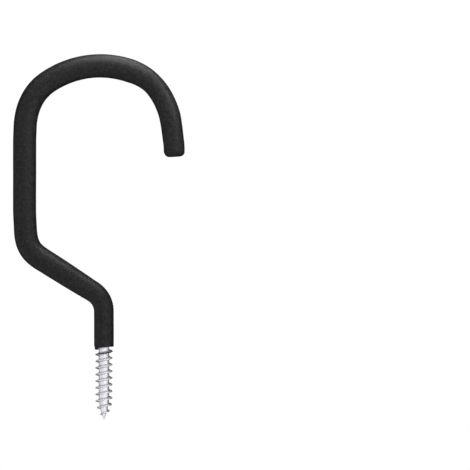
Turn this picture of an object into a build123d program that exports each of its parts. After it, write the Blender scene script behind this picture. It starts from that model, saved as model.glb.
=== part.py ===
from build123d import *

import os
from math import cos, pi, sin

# Storage hook for a bicycle: a bent steel rod with a wood-screw end, dipped in vinyl.
# Millimetres. The rod lies in the XZ plane and hangs from its screw, whose axis is +Z.
# The origin is on that axis, at the end of the coating, which meets the ceiling.

# The line of the rod's centre, from the ceiling down, out, round and up to the free tip
rod_diameter = 8.0
stem_length = 16.6
elbow_radius = 10.9
elbow_angle = 57.9
diagonal_length = 28.3
heel_radius = 16.9
back_length = 46.8
shoulder_radius = 26.9
shoulder_angle = 59.6
crown_radius = 43.4
crown_angle = 49.3
nose_radius = 28.1
nose_angle = 63.0
nose_taper_angle = 24.0
tip_length = 17.5

# The vinyl coating: its thickness along that line, and its two ends. It ran down to the
# heel and the crown as it set, and the free tip is cut level, not square to the rod.
stem_coat = 0.6
elbow_coat = 0.92
heel_coat = 1.52
back_coat = 1.4
crown_coat = 1.48
nose_coat = 0.95
rise_coat = 1.06
tip_coat = 0.85
end_cover = 2.0
end_round = 2.5
rim_round = 0.35
level_cut_room = 1.5

# The wood screw, cut into the rod's own thickness
screw_length = 34.0
point_length = 9.4
core_diameter = 4.9
point_flat = 0.3
point_bulge = 0.35
thread_relief = 0.05
thread_pitch = 3.1
first_crest_height = 0.6
ridge_root_width = 2.0
crest_flat_width = 0.45
ridge_least_share = 0.3
ridge_sink_share = 0.1

# How closely the thread's helix and the point's outline are drawn
stations_per_turn = 12
point_steps = 5

rod_radius = rod_diameter / 2
core_radius = core_diameter / 2
crest_radius = rod_radius - thread_relief
point_start = screw_length - point_length


def hook_line():
    """The edges of the rod's centre line, from the ceiling to a little past the free tip."""
    stem = PolarLine((0, 0), stem_length, -90)
    elbow = JernArc(stem @ 1, stem % 1, elbow_radius, elbow_angle)
    diagonal = PolarLine(elbow @ 1, diagonal_length, direction=elbow % 1)
    heel = JernArc(diagonal @ 1, diagonal % 1, heel_radius, -elbow_angle)
    back = PolarLine(heel @ 1, back_length, direction=heel % 1)
    shoulder = JernArc(back @ 1, back % 1, shoulder_radius, -shoulder_angle)
    crown = JernArc(shoulder @ 1, shoulder % 1, crown_radius, -crown_angle)
    taper = JernArc(crown @ 1, crown % 1, nose_radius, -nose_taper_angle)
    nose = JernArc(taper @ 1, taper % 1, nose_radius, nose_taper_angle - nose_angle)
    tip = PolarLine(nose @ 1, tip_length + level_cut_room, direction=nose % 1)
    drawn = [stem, elbow, diagonal, heel, back, shoulder, crown, taper, nose, tip]
    return [(Plane.XZ * piece).edge() for piece in drawn]


def disc_on(edge, at, radius):
    """A disc square to an edge, at its start (0) or its end (1)."""
    plane = Plane(edge.position_at(at), x_dir=(0, 1, 0), z_dir=edge.tangent_at(at))
    return Face(Wire.make_circle(radius, plane))


def round_span(edge, start_radius, end_radius):
    """The solid round one edge: a cylinder, a cone, or a bend that may taper."""
    disc = disc_on(edge, 0, start_radius)
    if edge.geom_type != GeomType.LINE:
        middle = disc_on(edge, 0.5, (start_radius + end_radius) / 2)
        return Solid.sweep_multi([disc, middle, disc_on(edge, 1, end_radius)], path=edge)
    if start_radius == end_radius:
        return Solid.extrude(disc, edge.tangent_at(0) * edge.length)
    plane = Plane(edge.position_at(0), x_dir=(0, 1, 0), z_dir=edge.tangent_at(0))
    return Solid.make_cone(start_radius, end_radius, edge.length, plane)


def round_bar(edges, radii):
    """One solid round a chain of edges, with its radius given at each of their ends."""
    spans = [round_span(e, a, b) for e, a, b in zip(edges, radii, radii[1:])]
    return spans[0].fuse(*spans[1:])


def rim_at(solid, point):
    """The edge of a solid whose middle lies nearest to a point."""
    return min(solid.edges(), key=lambda rim: (rim.center(CenterOf.BOUNDING_BOX) - point).length)


def point_share(height):
    """How far up the screw's point a height lies: 0 below it and 1 at its end."""
    return max(0.0, (height - point_start) / point_length)


def core_at(height):
    """Radius of the screw's core at a height: even, then a bulging cone up to a small flat."""
    share = point_share(height)
    cone_radius = core_radius + (point_flat / 2 - core_radius) * share
    return cone_radius + point_bulge * 4 * share * (1 - share)


def crest_at(height):
    """Radius of the thread's crest at a height: even, then rounded off to the point."""
    return crest_radius * (1 - point_share(height) ** 2)


def screw_core():
    """The core of the screw: a cylinder with its point lofted through rings."""
    levels = [point_start + point_length * step / point_steps for step in range(point_steps + 1)]
    rings = [Wire.make_circle(core_at(level), Plane((0, 0, level))) for level in levels]
    return Solid.make_cylinder(core_radius, point_start).fuse(Solid.make_loft(rings))


def thread_ridge():
    """The right-hand ridge that winds up the core, low and narrow where it starts and ends."""
    first = -ridge_root_width
    last = screw_length - ridge_root_width / 2
    count = round((last - first) / thread_pitch * stations_per_turn)
    full_depth = crest_radius - core_radius
    rails = [[], [], [], []]
    for station in range(count + 1):
        height = first + (last - first) * station / count
        angle = 2 * pi * (height - first_crest_height) / thread_pitch
        depth_share = (crest_at(height) - core_at(height)) / full_depth
        share = max(depth_share, ridge_least_share)
        reach = ridge_root_width / 2 * share
        flat = crest_flat_width / 2 * share
        levels = [height - reach, height - flat, height + flat, height + reach]
        radii = [core_at(level) * (1 - ridge_sink_share) for level in levels]
        radii[1:3] = [crest_at(height)] * 2
        for rail, radius, level in zip(rails, radii, levels):
            rail.append(Vector(radius * cos(angle), radius * sin(angle), level))
    curves = [Edge.make_spline(rail) for rail in rails]
    walls = [Face.make_surface_from_curves(a, b) for a, b in zip(curves, curves[1:] + curves[:1])]
    ends = [Face(Wire.make_polygon([rail[at] for rail in rails])) for at in (0, -1)]
    return Solid(Shell(walls + ends))


def bare_rod(line):
    """The bent rod without its screw. It stops short of the coating's closed tip."""
    kept = (tip_length - end_cover) / line[-1].length
    edges = line[:-1] + [line[-1].trim(0, kept)]
    return round_bar(edges, [rod_radius] * (len(edges) + 1))


def steel_screw_rod(line):
    """The rod with the wood screw on its upper end."""
    return bare_rod(line).fuse(screw_core()).fuse(thread_ridge())


def vinyl_coating(line):
    """The dipped skin: closed and rounded over the tip, open where the screw comes out."""
    coats = [stem_coat, stem_coat, elbow_coat, heel_coat, back_coat, back_coat]
    coats += [back_coat, crown_coat, nose_coat, rise_coat, tip_coat]
    skin = round_bar(line, [rod_radius + coat for coat in coats])
    tip = line[-1].position_at(tip_length / line[-1].length)
    reach = rod_diameter
    above_tip = Plane((tip.X - reach, -reach, tip.Z))
    skin = skin.cut(Solid.make_box(2 * reach, 2 * reach, reach, above_tip))
    skin = skin.fillet(end_round, [rim_at(skin, tip)])
    skin = skin.fillet(rim_round, [rim_at(skin, line[0].position_at(0))])
    return skin.cut(bare_rod(line)).solid()


centre_line = hook_line()
nodes = {
    "steel_screw_rod": steel_screw_rod(centre_line),
    "vinyl_coating": vinyl_coating(centre_line),
}
os.makedirs("parts", exist_ok=True)
for name, solid in nodes.items():
    export_step(solid, f"parts/{name}.step")
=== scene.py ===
"""The looks of a bicycle storage hook: black dipped vinyl over a zinc-plated rod with a wood screw."""

from math import cos, pi, radians, sin, sqrt

import bpy
from mathutils import Matrix, Vector


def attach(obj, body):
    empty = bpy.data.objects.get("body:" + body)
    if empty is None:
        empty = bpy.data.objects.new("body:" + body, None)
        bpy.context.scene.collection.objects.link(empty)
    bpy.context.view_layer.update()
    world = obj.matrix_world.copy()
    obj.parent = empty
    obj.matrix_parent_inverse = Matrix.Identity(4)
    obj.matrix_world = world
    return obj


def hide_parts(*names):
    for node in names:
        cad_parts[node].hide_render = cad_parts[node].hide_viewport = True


# The hook's sizes are in millimetres, and the studio's in metres
MM = 0.001

# The rod's centre line, from the ceiling down to the free tip: a straight run has a length,
# a bend has a radius and a turn in degrees. Each has the coating's thickness at its far end.
STRAIGHT = "straight"
BEND = "bend"
HOOK_LINE = [
    (STRAIGHT, 16.6, 0, 0.6),
    (BEND, 10.9, 57.9, 0.92),
    (STRAIGHT, 14.0, 0, 1.35),
    (STRAIGHT, 14.3, 0, 1.52),
    (BEND, 16.9, -57.9, 1.4),
    (STRAIGHT, 46.8, 0, 1.44),
    (BEND, 26.9, -59.6, 1.44),
    (BEND, 43.4, -49.3, 1.53),
    (BEND, 28.1, -24.0, 0.97),
    (BEND, 28.1, -39.0, 1.06),
    (STRAIGHT, 17.65, 0, 0.85),
]
# Where the bending press left the line a little off those bends: the distance along it, and
# how far to its left hand it lies there
PRESS_MARKS = [
    (30.0, 0.08),
    (57.0, -0.06),
    (62.5, 0.16),
    (71.5, -0.32),
    (82.0, 0.06),
    (113.0, 0.03),
    (122.0, -0.2),
    (139.0, 0.2),
    (149.0, -0.04),
    (184.0, 0.0),
    (194.0, 0.2),
    (209.0, -0.17),
    (219.5, 0.14),
    (227.0, 0.02),
    (234.0, -0.55),
]
ROD_RADIUS = 4.0
STEM_COAT = 0.6
LINE_STEP = 0.9

# The skin's rounded rim at the ceiling, whose flat face drops a hair from the rod outwards
RIM_ROUND = 0.35
RIM_STEPS = 5
RIM_DROP = 0.002

# Its closed tip: how far it covers the rod's end, and its rounded edge, whose last step comes a
# hair before the flat. What lies within a reach of its end slides, so that it is cut level.
END_COVER = 2.0
END_ROUND = 2.5
END_STEPS = 12
END_GAP = 0.001
LEVEL_REACH = 11.0

# The steps of the line keep this far from both roundings
ROUNDING_ROOM = 0.5

# The slow swells of the dip: how high, how many to a metre and how rich they are, the level of
# their noise that moves nothing, and how far below the rim they are full
SWELL_HEIGHT = 0.14
SWELL_SCALE = 90.0
SWELL_DETAIL = 1.5
SWELL_MIDDLE = 0.5
SWELL_FULL = 4.0

# The thread's crest, and the bead of vinyl that has crept along it: over which turns of it, how
# thick, what share of that ripples and by how many radians a turn, and how it fades to its least
CREST_RADIUS = 3.95
THREAD_PITCH = 3.1
FIRST_CREST = 0.6
CREPT_TURNS = (-0.3, 1.05)
CREPT_LINE = 0.55
CREPT_RIPPLE = 0.25
CREPT_RIPPLE_RATE = 17
CREPT_FADE = 0.45
CREPT_LEAST = 0.03

# The bead's blob, and how its middle lies on the crest: lifted, then sunk by a share of its radius
CREPT_BLOB = 0.4
CREPT_BLOB_TURN = 0.0
CREPT_BLOB_REACH = 0.1
CREPT_LIFT = 0.08
CREPT_SINK = 0.6

# How finely the skin and the bead are drawn, and the turn in radians from which an edge is sharp
SKIN_SIDES = 72
SKIN_SHARP_TURN = 0.6
BEAD_SIDES = 20
BEAD_STEPS = 90
BEAD_SHARP_TURN = 1.2

# The corners that a wall's faces have at most, how near to the ceiling a cap with more of them
# is opened, and how near two walls are sewn together
WALL_CORNERS = 4
CEILING_REACH = 1.0
SEAM_REACH = 0.001

# The vinyl: how many blotches and specks its mottle has to a metre and how they share it, its
# two tones, the roughness of each, and its grain
VINYL_MOTTLE = {"Blotch Scale": 560.0, "Speck Scale": 1700.0, "Blotch Share": 0.3}
VINYL_TONES = ((0.0008, 0.0008, 0.0008, 1), (0.0199, 0.0199, 0.0199, 1))
VINYL_ROUGHNESS = (0.52, 0.38)
VINYL_GLOSS = 0.14
VINYL_GRAIN = {"Strength": 0.6, "Distance": 0.00013}

# The zinc plate, with painted shade on the thread's ridges: they are coloured darker than the core of the
# screw
ZINC_MOTTLE = {"Blotch Scale": 1250.0, "Speck Scale": 2600.0, "Blotch Share": 0.5}
ZINC_TONES = ((0.6, 0.592, 0.645, 1), (0.97, 0.96, 0.98, 1))
ZINC_ROUGHNESS = (0.6, 0.45)
ZINC_GRAIN = {"Strength": 0.3, "Distance": 0.00008}
RIDGE_SHADE_TONES = ((0.46, 0.457, 0.49, 1), (0.88, 0.87, 0.89, 1))
RIDGE_SHADE_STARTS = 2.6
RIDGE_SHADE_FULL = 3.3

# The mottle's noise: how rich its blotches and its specks are, and the levels of the two
# together that come out as the lowest and the highest
BLOTCH_NOISE = {"Detail": 3.0, "Roughness": 0.6}
SPECK_NOISE = {"Detail": 2.0, "Roughness": 0.7}
MOTTLE_SPAN = (0.3, 0.7)

# The photograph's frame: how many millimetres one of its pixels spans at the hook
FRAME_PIXELS = 470
PIXEL_SIZE = 0.467
ORIGIN_PIXEL = (103.93, 346.7)
LENS = 300.0
SENSOR = 36.0
CAMERA_REACH = 20.0

# The studio: how brightly its front and its back light the hook, how far round the one turns
# into the other, and its floor
FRONT_LIGHT = 1.0
BACK_LIGHT = 0.45
LIGHT_SPAN = (-0.8, 0.35)
FLOOR_COLOUR = (0.9, 0.9, 0.9, 1)
FLOOR_ROUGHNESS = 0.9
FLOOR_LEVEL = -0.30
FLOOR_REACH = 2.0
FLOOR_PALENESS = 0.28
WHITE = (1, 1, 1, 1)

# What gloss shows: a white surround with a dark card behind the hook, moved a little to one side
CARD_SPAN = (-0.1, 0.6)
CARD_SHIFT = 0.2
CARD_LEVEL = 0.0
FLOOR_CARD_SPAN = (-0.1, 0.08)

# The lamps: where each is, what it is aimed at, its size and its power
SOFTBOXES = {
    "low_softbox": ((-0.03, -0.022, -0.285), (0, 0, -0.08), 0.22, 0.98),
    "side_softbox": ((-0.75, -1.3, 0.0), (0, 0, -0.06), 1.2, 4.2),
    "nose_softbox": ((-0.1, -0.05, -0.15), (-0.03, 0, -0.11), 0.03, 0.04),
}

# Sockets that share a name with others of their node: the two numbers and the two colours of
# a mix, and the length at which a curve is trimmed
NUMBER_SOCKETS = (2, 3)
COLOUR_SOCKETS = (6, 7)
NUMBER_RESULT = 0
COLOUR_RESULT = 2
TRIM_END = 5


def add_node(tree, kind, inputs=None, **settings):
    """A node of a tree, with its settings and its inputs given as values or as sockets to link."""
    node = tree.nodes.new(kind)
    for name, value in settings.items():
        setattr(node, name, value)
    for name, value in (inputs or {}).items():
        if isinstance(value, bpy.types.NodeSocket):
            tree.links.new(value, node.inputs[name])
        else:
            node.inputs[name].default_value = value
    return node


def calculate(tree, operation, first, second=0.0):
    """The result of a sum on two numbers or sockets."""
    node = add_node(tree, "ShaderNodeMath", {0: first, 1: second}, operation=operation)
    return node.outputs["Value"]


def vector_node(tree, operation, inputs):
    """A sum on vectors."""
    return add_node(tree, "ShaderNodeVectorMath", inputs, operation=operation)


def height_in(tree, vector):
    """A vector's upward part."""
    return add_node(tree, "ShaderNodeSeparateXYZ", {"Vector": vector}).outputs["Z"]


def smooth_range(tree, value, span, levels):
    """A value moved smoothly from the first level to the second over a span."""
    node = add_node(
        tree,
        "ShaderNodeMapRange",
        {"Value": value, "From Min": span[0], "From Max": span[1], "To Min": levels[0], "To Max": levels[1]},
        interpolation_type="SMOOTHSTEP",
    )
    return node.outputs["Result"]


def new_tree(name, kind, inputs, outputs):
    """A node group with named sockets, and its input and output nodes."""
    tree = bpy.data.node_groups.new(name, kind)
    for label, socket_type in inputs:
        tree.interface.new_socket(name=label, in_out="INPUT", socket_type=socket_type)
    for label, socket_type in outputs:
        tree.interface.new_socket(name=label, in_out="OUTPUT", socket_type=socket_type)
    return tree, tree.nodes.new("NodeGroupInput"), tree.nodes.new("NodeGroupOutput")


def advance(x, z, heading, kind, size, turn, share):
    """The place a share of the way along one run or bend that starts at x, z with a heading."""
    if kind == STRAIGHT:
        return x + size * share * cos(heading), z + size * share * sin(heading)
    side = 1 if turn > 0 else -1
    angle = radians(turn) * share
    centre_x = x - side * size * sin(heading)
    centre_z = z + side * size * cos(heading)
    spoke = heading - side * pi / 2 + angle
    return centre_x + size * cos(spoke), centre_z + size * sin(spoke)


def walk_hook_line():
    """Points every step along the centre line, as (distance, x, z, coating thickness)."""
    x, z, heading, gone, coat = 0.0, 0.0, -pi / 2, 0.0, STEM_COAT
    stations = []
    for kind, size, turn, end_coat in HOOK_LINE:
        length = size if kind == STRAIGHT else size * radians(abs(turn))
        steps = max(1, round(length / LINE_STEP))
        for step in range(steps):
            share = step / steps
            place = advance(x, z, heading, kind, size, turn, share)
            thickness = coat + (end_coat - coat) * share
            stations.append((gone + length * share, *place, thickness))
        x, z = advance(x, z, heading, kind, size, turn, 1.0)
        heading += radians(turn)
        gone += length
        coat = end_coat
    stations.append((gone, x, z, coat))
    return stations


def press_mark(distance):
    """How far the line lies to its left hand at a distance along it."""
    marks = [(0.0, 0.0)] + PRESS_MARKS
    for (start, low), (end, high) in zip(marks, marks[1:]):
        if distance <= end:
            share = (distance - start) / (end - start)
            return low + (high - low) * (1 - cos(pi * share)) / 2
    return marks[-1][1]


def place_on_line(stations, distance):
    """The point and the coating's thickness at a distance along the stations, press marks included."""
    span = 0
    while distance > stations[span + 1][0] and span < len(stations) - 2:
        span += 1
    low, high = stations[span], stations[span + 1]
    share = (distance - low[0]) / (high[0] - low[0])
    x, z, coat = [a + (b - a) * share for a, b in zip(low[1:], high[1:])]
    along_x, along_z = high[1] - low[1], high[2] - low[2]
    aside = press_mark(distance) / sqrt(along_x**2 + along_z**2)
    return x - along_z * aside, z + along_x * aside, coat


def tip_place_and_axis():
    """The free tip's end on the centre line, in metres, and the direction in which it points."""
    stations = walk_hook_line()
    total = stations[-1][0]
    end_x, end_z, _ = place_on_line(stations, total)
    before_x, before_z, _ = place_on_line(stations, total - END_ROUND)
    axis = Vector((end_x - before_x, 0.0, end_z - before_z)).normalized()
    return Vector((end_x, 0.0, end_z)) * MM, axis


def edge_chain(name, points, attributes):
    """An object whose mesh is a chain of edges, with a named number at each of its points."""
    mesh = bpy.data.meshes.new(name)
    mesh.from_pydata(points, [(i, i + 1) for i in range(len(points) - 1)], [])
    for label, values in attributes.items():
        attribute = mesh.attributes.new(label, "FLOAT", "POINT")
        attribute.data.foreach_set("value", values)
    piece = bpy.data.objects.new(name, mesh)
    bpy.context.scene.collection.objects.link(piece)
    return piece


def skin_path():
    """The chain that the vinyl follows: close steps where its rim and its tip are rounded."""
    stations = walk_hook_line()
    total = stations[-1][0]
    first, last = RIM_ROUND + ROUNDING_ROOM, total - END_ROUND - ROUNDING_ROOM
    rim_angles = [pi / 2 * step / RIM_STEPS for step in range(1, RIM_STEPS + 1)]
    end_angles = [pi / 2 * step / END_STEPS for step in range(END_STEPS)]
    distances = [0.0, RIM_DROP]
    distances += [RIM_ROUND * (1 - cos(angle)) + RIM_DROP for angle in rim_angles]
    distances += [station[0] for station in stations if first < station[0] < last]
    distances += [total - END_ROUND * (1 - sin(angle)) for angle in end_angles]
    distances.append(total - END_GAP)
    points, outer = [], []
    for distance in distances:
        x, z, coat = place_on_line(stations, distance)
        radius = ROD_RADIUS + coat
        from_rim = RIM_ROUND - distance
        from_tip = distance - (total - END_ROUND)
        if from_rim > 0:
            radius += sqrt(RIM_ROUND**2 - from_rim**2) - RIM_ROUND
        if from_tip > 0:
            radius += sqrt(max(END_ROUND**2 - from_tip**2, 0.0)) - END_ROUND
        points.append((x * MM, 0.0, z * MM))
        outer.append(radius * MM)
    outer[0] = ROD_RADIUS * MM
    return edge_chain("vinyl_skin", points, {"outer_radius": outer})


def crept_path():
    """The chain along the thread's crest that a bead of vinyl has crept up, thick and then thin."""
    points, radii = [], []
    for step in range(BEAD_STEPS + 1):
        share = step / BEAD_STEPS
        turn = CREPT_TURNS[0] + (CREPT_TURNS[1] - CREPT_TURNS[0]) * share
        angle = 2 * pi * turn
        from_blob = (turn - CREPT_BLOB_TURN) / CREPT_BLOB_REACH
        blob = CREPT_BLOB / (1 + from_blob**2)
        line = CREPT_LINE * (1 - CREPT_RIPPLE + CREPT_RIPPLE * cos(CREPT_RIPPLE_RATE * turn))
        radius = CREPT_LEAST + (line + blob) * (1 - share) ** CREPT_FADE
        reach = CREST_RADIUS + CREPT_LIFT - CREPT_SINK * radius
        height = FIRST_CREST + THREAD_PITCH * turn
        points.append((reach * cos(angle) * MM, reach * sin(angle) * MM, height * MM))
        radii.append(radius * MM)
    return edge_chain("crept_vinyl", points, {"bead_radius": radii})


def curve_of(tree, chain):
    """A chain of edges as a curve."""
    return add_node(tree, "GeometryNodeMeshToCurve", {"Mesh": chain}).outputs["Curve"]


def stored_number(tree, name):
    """The number of that name at each point."""
    node = add_node(tree, "GeometryNodeInputNamedAttribute", {"Name": name}, data_type="FLOAT")
    return node.outputs["Attribute"]


def tube_along(tree, curve, radius, sides):
    """A round tube along a curve, closed at both ends."""
    ring = add_node(tree, "GeometryNodeCurvePrimitiveCircle", {"Resolution": sides, "Radius": 1.0})
    tube = add_node(
        tree,
        "GeometryNodeCurveToMesh",
        {"Curve": curve, "Profile Curve": ring.outputs["Curve"], "Scale": radius, "Fill Caps": True},
    )
    return tube.outputs["Mesh"]


def shift_points(tree, geometry, direction, distance):
    """A geometry whose points are moved in a direction by a distance."""
    offset = vector_node(tree, "SCALE", {0: direction, "Scale": distance}).outputs["Vector"]
    moved = add_node(tree, "GeometryNodeSetPosition", {"Geometry": geometry, "Offset": offset})
    return moved.outputs["Geometry"]


def put_out(tree, geometry, finish, outlet):
    """Ends a geometry tree: the geometry is made real, given its finish and put out."""
    real = add_node(tree, "GeometryNodeRealizeInstances", {"Geometry": geometry}).outputs["Geometry"]
    finished = add_node(tree, "GeometryNodeSetMaterial", {"Geometry": real, "Material": finish})
    tree.links.new(finished.outputs["Geometry"], outlet)


def swell_skin(tree, given, geometry):
    """Slow swells of the dip, which fade out towards the rim so that the rim stays on the rod."""
    place = add_node(tree, "GeometryNodeInputPosition").outputs["Position"]
    swell = add_node(
        tree,
        "ShaderNodeTexNoise",
        {"Vector": place, "Scale": given.outputs["Wave Scale"], "Detail": SWELL_DETAIL},
    )
    centred = calculate(tree, "SUBTRACT", swell.outputs["Fac"], SWELL_MIDDLE)
    fade = calculate(tree, "MULTIPLY", height_in(tree, place), -1 / (SWELL_FULL * MM))
    fade = add_node(tree, "ShaderNodeClamp", {"Value": fade}).outputs["Result"]
    share = calculate(tree, "MULTIPLY", centred, fade)
    height = calculate(tree, "MULTIPLY", share, given.outputs["Unevenness"])
    normal = add_node(tree, "GeometryNodeInputNormal").outputs["Normal"]
    return shift_points(tree, geometry, normal, height)


def level_tip(tree, given, geometry):
    """The tip cut level: the skin near it slides along its axis by how far it lies to a side."""
    axis, reach = given.outputs["Tip Axis"], given.outputs["Level Reach"]
    place = add_node(tree, "GeometryNodeInputPosition").outputs["Position"]
    from_tip = vector_node(tree, "SUBTRACT", {0: place, 1: given.outputs["Tip Place"]}).outputs["Vector"]
    along = vector_node(tree, "DOT_PRODUCT", {0: from_tip, 1: axis}).outputs["Value"]
    axis_rise = height_in(tree, axis)
    due_rise = calculate(tree, "MULTIPLY", along, axis_rise)
    too_high = calculate(tree, "SUBTRACT", height_in(tree, from_tip), due_rise)
    away = vector_node(tree, "LENGTH", {0: from_tip}).outputs["Value"]
    half_reach = calculate(tree, "MULTIPLY", reach, 0.5)
    back = smooth_range(tree, away, (reach, half_reach), (0.0, -1.0))
    slide = calculate(tree, "DIVIDE", calculate(tree, "MULTIPLY", too_high, back), axis_rise)
    return shift_points(tree, geometry, axis, slide)


def bore_wall(tree, given, curve):
    """The wall of the rod's bore, turned inside out, which stops short of the closed tip."""
    length = add_node(tree, "GeometryNodeCurveLength", {"Curve": curve}).outputs["Length"]
    kept = calculate(tree, "SUBTRACT", length, given.outputs["End Cover"])
    trimmed = add_node(tree, "GeometryNodeTrimCurve", {"Curve": curve, TRIM_END: kept}, mode="LENGTH")
    wall = tube_along(tree, trimmed.outputs["Curve"], given.outputs["Bore Radius"], given.outputs["Sides"])
    return add_node(tree, "GeometryNodeFlipFaces", {"Mesh": wall}).outputs["Mesh"]


def sew_at_ceiling(tree, walls):
    """Two walls that lose their caps where the rod comes out, and are sewn together there."""
    joined = add_node(tree, "GeometryNodeJoinGeometry")
    for wall in walls:
        tree.links.new(wall, joined.inputs["Geometry"])
    corners = add_node(tree, "GeometryNodeInputMeshFaceNeighbors").outputs["Vertex Count"]
    is_cap = calculate(tree, "GREATER_THAN", corners, WALL_CORNERS + 0.5)
    place = add_node(tree, "GeometryNodeInputPosition").outputs["Position"]
    at_ceiling = calculate(tree, "GREATER_THAN", height_in(tree, place), -CEILING_REACH * MM)
    ceiling_caps = calculate(tree, "MULTIPLY", is_cap, at_ceiling)
    opened = add_node(
        tree,
        "GeometryNodeDeleteGeometry",
        {"Geometry": joined.outputs["Geometry"], "Selection": ceiling_caps},
        domain="FACE",
    )
    sewn = add_node(
        tree,
        "GeometryNodeMergeByDistance",
        {"Geometry": opened.outputs["Geometry"], "Distance": SEAM_REACH * MM},
    )
    return sewn.outputs["Geometry"]


def dipped_skin_tree():
    """A closed vinyl skin along a chain, with a bore for the rod and a soft, uneven outside."""
    tree, given, result = new_tree(
        "dipped_skin",
        "GeometryNodeTree",
        [
            ("Chain", "NodeSocketGeometry"),
            ("Sides", "NodeSocketInt"),
            ("Bore Radius", "NodeSocketFloat"),
            ("End Cover", "NodeSocketFloat"),
            ("Unevenness", "NodeSocketFloat"),
            ("Wave Scale", "NodeSocketFloat"),
            ("Tip Place", "NodeSocketVector"),
            ("Tip Axis", "NodeSocketVector"),
            ("Level Reach", "NodeSocketFloat"),
            ("Finish", "NodeSocketMaterial"),
        ],
        [("Skin", "NodeSocketGeometry")],
    )
    curve = curve_of(tree, given.outputs["Chain"])
    outside = tube_along(tree, curve, stored_number(tree, "outer_radius"), given.outputs["Sides"])
    outside = level_tip(tree, given, swell_skin(tree, given, outside))
    skin = sew_at_ceiling(tree, [outside, bore_wall(tree, given, curve)])
    put_out(tree, skin, given.outputs["Finish"], result.inputs["Skin"])
    return tree


def bead_tree():
    """A tapering bead along a chain, closed at both ends."""
    tree, given, result = new_tree(
        "crept_bead",
        "GeometryNodeTree",
        [("Chain", "NodeSocketGeometry"), ("Sides", "NodeSocketInt"), ("Finish", "NodeSocketMaterial")],
        [("Bead", "NodeSocketGeometry")],
    )
    curve = curve_of(tree, given.outputs["Chain"])
    tube = tube_along(tree, curve, stored_number(tree, "bead_radius"), given.outputs["Sides"])
    put_out(tree, tube, given.outputs["Finish"], result.inputs["Bead"])
    return tree


def grow(piece, tree, values):
    """Runs a geometry tree on a piece with named inputs, and keeps what it makes as a plain mesh."""
    modifier = piece.modifiers.new(tree.name, "NODES")
    modifier.node_group = tree
    for item in tree.interface.items_tree:
        if item.name in values:
            modifier[item.identifier] = values[item.name]
    bpy.context.view_layer.update()
    graph = bpy.context.evaluated_depsgraph_get()
    grown = bpy.data.meshes.new_from_object(piece.evaluated_get(graph))
    piece.modifiers.clear()
    piece.data = grown
    grown.name = piece.name
    return piece


def shade_smooth(piece, sharp_turn):
    """Smooth shading, with the edges that turn more than an angle kept sharp."""
    piece.data.shade_smooth()
    piece.data.set_sharp_from_angle(angle=sharp_turn)


def number_mix(tree, factor, low, high):
    """A number between two, which are values or sockets."""
    numbers = dict(zip(NUMBER_SOCKETS, (low, high)))
    node = add_node(tree, "ShaderNodeMix", {"Factor": factor, **numbers}, data_type="FLOAT")
    return node.outputs[NUMBER_RESULT]


def colour_mix(tree, factor, low, high):
    """A colour between two, which are values or sockets."""
    colours = dict(zip(COLOUR_SOCKETS, (low, high)))
    node = add_node(tree, "ShaderNodeMix", {"Factor": factor, **colours}, data_type="RGBA")
    return node.outputs[COLOUR_RESULT]


def spread(tree, factor, levels):
    """A number that goes evenly from the first level to the second."""
    inputs = {"Value": factor, "To Min": levels[0], "To Max": levels[1]}
    return add_node(tree, "ShaderNodeMapRange", inputs).outputs["Result"]


def mottle_group():
    """A group for any matt surface: a mask and a height of blotches and fine specks."""
    tree, given, result = new_tree(
        "mottle",
        "ShaderNodeTree",
        [
            ("Vector", "NodeSocketVector"),
            ("Blotch Scale", "NodeSocketFloat"),
            ("Speck Scale", "NodeSocketFloat"),
            ("Blotch Share", "NodeSocketFloat"),
        ],
        [("Mask", "NodeSocketFloat"), ("Height", "NodeSocketFloat")],
    )
    place = given.outputs["Vector"]
    blotches = add_node(
        tree,
        "ShaderNodeTexNoise",
        {"Vector": place, "Scale": given.outputs["Blotch Scale"], **BLOTCH_NOISE},
    )
    specks = add_node(
        tree,
        "ShaderNodeTexNoise",
        {"Vector": place, "Scale": given.outputs["Speck Scale"], **SPECK_NOISE},
    )
    share = given.outputs["Blotch Share"]
    mixed = number_mix(tree, share, specks.outputs["Fac"], blotches.outputs["Fac"])
    mask = smooth_range(tree, mixed, MOTTLE_SPAN, (0.0, 1.0))
    tree.links.new(mask, result.inputs["Mask"])
    tree.links.new(mixed, result.inputs["Height"])
    return tree


def new_material(name):
    """A node material, with its tree, its shader and the place on the piece."""
    material = bpy.data.materials.new(name)
    material.use_nodes = True
    tree = material.node_tree
    shader = tree.nodes["Principled BSDF"]
    place = add_node(tree, "ShaderNodeTexCoord").outputs["Object"]
    return material, tree, shader, place


def use_mottle(tree, group, place, sizes):
    """The mottle group, placed in a material with its own sizes: its mask and its height."""
    node = add_node(tree, "ShaderNodeGroup", {"Vector": place, **sizes}, node_tree=group)
    return node.outputs["Mask"], node.outputs["Height"]


def add_bump(tree, shader, height, grain):
    """A bump on a shader's normal."""
    bump = add_node(tree, "ShaderNodeBump", {"Height": height, **grain})
    tree.links.new(bump.outputs["Normal"], shader.inputs["Normal"])


def vinyl_material(mottle):
    """Matt black vinyl: finely mottled in colour and sheen, with a grain that can just be felt."""
    material, tree, shader, place = new_material("black_vinyl")
    mask, height = use_mottle(tree, mottle, place, VINYL_MOTTLE)
    tree.links.new(colour_mix(tree, mask, *VINYL_TONES), shader.inputs["Base Color"])
    tree.links.new(spread(tree, mask, VINYL_ROUGHNESS), shader.inputs["Roughness"])
    shader.inputs["Specular IOR Level"].default_value = VINYL_GLOSS
    add_bump(tree, shader, height, VINYL_GRAIN)
    return material


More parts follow.
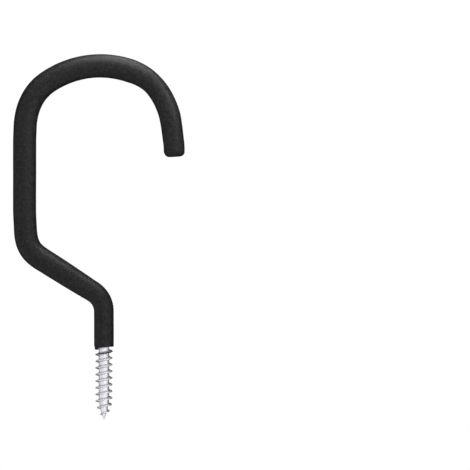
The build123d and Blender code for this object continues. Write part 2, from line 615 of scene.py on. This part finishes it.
def zinc_material(mottle):
    """Bright zinc plate: pale with a faint lilac cast, blotched, and with painted shade on the thread's
    ridges, which are coloured darker.
    """
    material, tree, shader, place = new_material("zinc_plate")
    mask, height = use_mottle(tree, mottle, place, ZINC_MOTTLE)
    part = add_node(tree, "ShaderNodeSeparateXYZ", {"Vector": place})
    level = add_node(tree, "ShaderNodeCombineXYZ", {"X": part.outputs["X"], "Y": part.outputs["Y"]})
    reach = vector_node(tree, "LENGTH", {0: level.outputs["Vector"]}).outputs["Value"]
    # Painted shade: the thread's ridges get darker zinc tones than the core, blending in between the two
    # radii
    painted_ridge_shade = smooth_range(tree, reach, (RIDGE_SHADE_STARTS * MM, RIDGE_SHADE_FULL * MM), (0.0, 1.0))
    unshaded_zinc = colour_mix(tree, mask, *ZINC_TONES)
    shaded_ridge = colour_mix(tree, mask, *RIDGE_SHADE_TONES)
    tree.links.new(colour_mix(tree, painted_ridge_shade, unshaded_zinc, shaded_ridge), shader.inputs["Base Color"])
    tree.links.new(spread(tree, mask, ZINC_ROUGHNESS), shader.inputs["Roughness"])
    shader.inputs["Metallic"].default_value = 1.0
    add_bump(tree, shader, height, ZINC_GRAIN)
    return material


def seen_in_gloss(tree, path):
    """1 for what shows in a reflection or through glass, else 0."""
    return calculate(tree, "MAXIMUM", path.outputs["Is Glossy Ray"], path.outputs["Is Transmission Ray"])


def light_the_world():
    """A surround that the camera sees white, and that lights the hook mostly from the front."""
    world = bpy.data.worlds.new("studio")
    bpy.context.scene.world = world
    world.use_nodes = True
    tree = world.node_tree
    tree.nodes.clear()
    direction = add_node(tree, "ShaderNodeTexCoord").outputs["Generated"]
    part = add_node(tree, "ShaderNodeSeparateXYZ", {"Vector": direction})
    across = calculate(tree, "MULTIPLY", part.outputs["X"], CARD_SHIFT)
    behind = calculate(tree, "SUBTRACT", part.outputs["Y"], across)
    soft = smooth_range(tree, behind, LIGHT_SPAN, (FRONT_LIGHT, BACK_LIGHT))
    card = smooth_range(tree, behind, CARD_SPAN, (1.0, CARD_LEVEL))
    path = add_node(tree, "ShaderNodeLightPath")
    lit = number_mix(tree, seen_in_gloss(tree, path), soft, card)
    seen = number_mix(tree, path.outputs["Is Camera Ray"], lit, 1.0)
    surround = add_node(tree, "ShaderNodeBackground", {"Color": WHITE, "Strength": seen})
    add_node(tree, "ShaderNodeOutputWorld", {"Surface": surround.outputs["Background"]})


def floor_material():
    """The floor's pale matt face. Gloss shows it white with the card's dark end, and from below
    it is clear."""
    material, tree, shader, place = new_material("pale_floor")
    shader.inputs["Base Color"].default_value = FLOOR_COLOUR
    shader.inputs["Roughness"].default_value = FLOOR_ROUGHNESS
    path = add_node(tree, "ShaderNodeLightPath")
    behind = add_node(tree, "ShaderNodeSeparateXYZ", {"Vector": place}).outputs["Y"]
    card = smooth_range(tree, behind, FLOOR_CARD_SPAN, (1.0, CARD_LEVEL))
    glow = add_node(tree, "ShaderNodeEmission", {"Strength": card})
    matt_or_card = add_node(
        tree,
        "ShaderNodeMixShader",
        {"Fac": seen_in_gloss(tree, path), 1: shader.outputs["BSDF"], 2: glow.outputs["Emission"]},
    )
    paleness = calculate(tree, "MULTIPLY", path.outputs["Is Camera Ray"], FLOOR_PALENESS)
    pale = add_node(tree, "ShaderNodeEmission", {"Strength": paleness})
    from_above = add_node(
        tree,
        "ShaderNodeAddShader",
        {0: matt_or_card.outputs["Shader"], 1: pale.outputs["Emission"]},
    )
    underneath = add_node(tree, "ShaderNodeNewGeometry").outputs["Backfacing"]
    clear = add_node(tree, "ShaderNodeBsdfTransparent")
    both = add_node(
        tree,
        "ShaderNodeMixShader",
        {"Fac": underneath, 1: from_above.outputs["Shader"], 2: clear.outputs["BSDF"]},
    )
    tree.links.new(both.outputs["Shader"], tree.nodes["Material Output"].inputs["Surface"])
    return material


def lay_floor():
    """A pale floor well below the hook, which keeps the hook's shadow."""
    mesh = bpy.data.meshes.new("floor")
    half, level = FLOOR_REACH, FLOOR_LEVEL
    corners = [(-half, -half, level), (half, -half, level), (half, half, level), (-half, half, level)]
    mesh.from_pydata(corners, [], [(0, 1, 2, 3)])
    floor = bpy.data.objects.new("floor", mesh)
    bpy.context.scene.collection.objects.link(floor)
    mesh.materials.append(floor_material())


def add_softbox(name, place, target, size, power):
    """A square area lamp, aimed at a point."""
    data = bpy.data.lights.new(name, "AREA")
    data.shape = "SQUARE"
    data.size = size
    data.energy = power
    lamp = bpy.data.objects.new(name, data)
    lamp.location = place
    lamp.rotation_euler = (Vector(target) - Vector(place)).to_track_quat("-Z", "Y").to_euler()
    lamp.visible_camera = False
    bpy.context.scene.collection.objects.link(lamp)


def aim_camera():
    """A long lens square on to the hook, turned head over heels as the hook is pictured."""
    data = bpy.data.cameras.new("camera")
    data.lens = LENS
    data.sensor_width = SENSOR
    data.clip_end = CAMERA_REACH
    width = FRAME_PIXELS * PIXEL_SIZE * MM
    distance = width * LENS / SENSOR
    middle = FRAME_PIXELS / 2
    aim_x = -(middle - ORIGIN_PIXEL[0]) * PIXEL_SIZE * MM
    aim_z = (middle - ORIGIN_PIXEL[1]) * PIXEL_SIZE * MM
    camera = bpy.data.objects.new("camera", data)
    camera.location = (aim_x, -distance, aim_z)
    upright = Matrix.Rotation(pi / 2, 3, "X")
    camera.rotation_euler = (upright @ Matrix.Rotation(pi, 3, "Z")).to_euler()
    bpy.context.scene.collection.objects.link(camera)
    bpy.context.scene.camera = camera


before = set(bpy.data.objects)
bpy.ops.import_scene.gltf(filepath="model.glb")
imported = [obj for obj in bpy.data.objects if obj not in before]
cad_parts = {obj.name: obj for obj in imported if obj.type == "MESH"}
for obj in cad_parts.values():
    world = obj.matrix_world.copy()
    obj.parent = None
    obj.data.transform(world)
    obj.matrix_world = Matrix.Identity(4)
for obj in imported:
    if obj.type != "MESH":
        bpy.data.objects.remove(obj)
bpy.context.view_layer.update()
aim_camera()
bpy.context.scene.view_settings.view_transform = "Standard"

mottle = mottle_group()
vinyl = vinyl_material(mottle)
zinc = zinc_material(mottle)

tip_place, tip_axis = tip_place_and_axis()
skin = grow(
    skin_path(),
    dipped_skin_tree(),
    {
        "Sides": SKIN_SIDES,
        "Bore Radius": ROD_RADIUS * MM,
        "End Cover": END_COVER * MM,
        "Unevenness": SWELL_HEIGHT * MM,
        "Wave Scale": SWELL_SCALE,
        "Tip Place": tip_place,
        "Tip Axis": tip_axis,
        "Level Reach": LEVEL_REACH * MM,
        "Finish": vinyl,
    },
)
shade_smooth(skin, SKIN_SHARP_TURN)
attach(skin, "root")
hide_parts("vinyl_coating")

bead = grow(crept_path(), bead_tree(), {"Sides": BEAD_SIDES, "Finish": vinyl})
shade_smooth(bead, BEAD_SHARP_TURN)
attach(bead, "root")

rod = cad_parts["steel_screw_rod"]
rod.data.materials.clear()
rod.data.materials.append(zinc)

light_the_world()
lay_floor()
for name, (place, target, size, power) in SOFTBOXES.items():
    add_softbox(name, place, target, size, power)
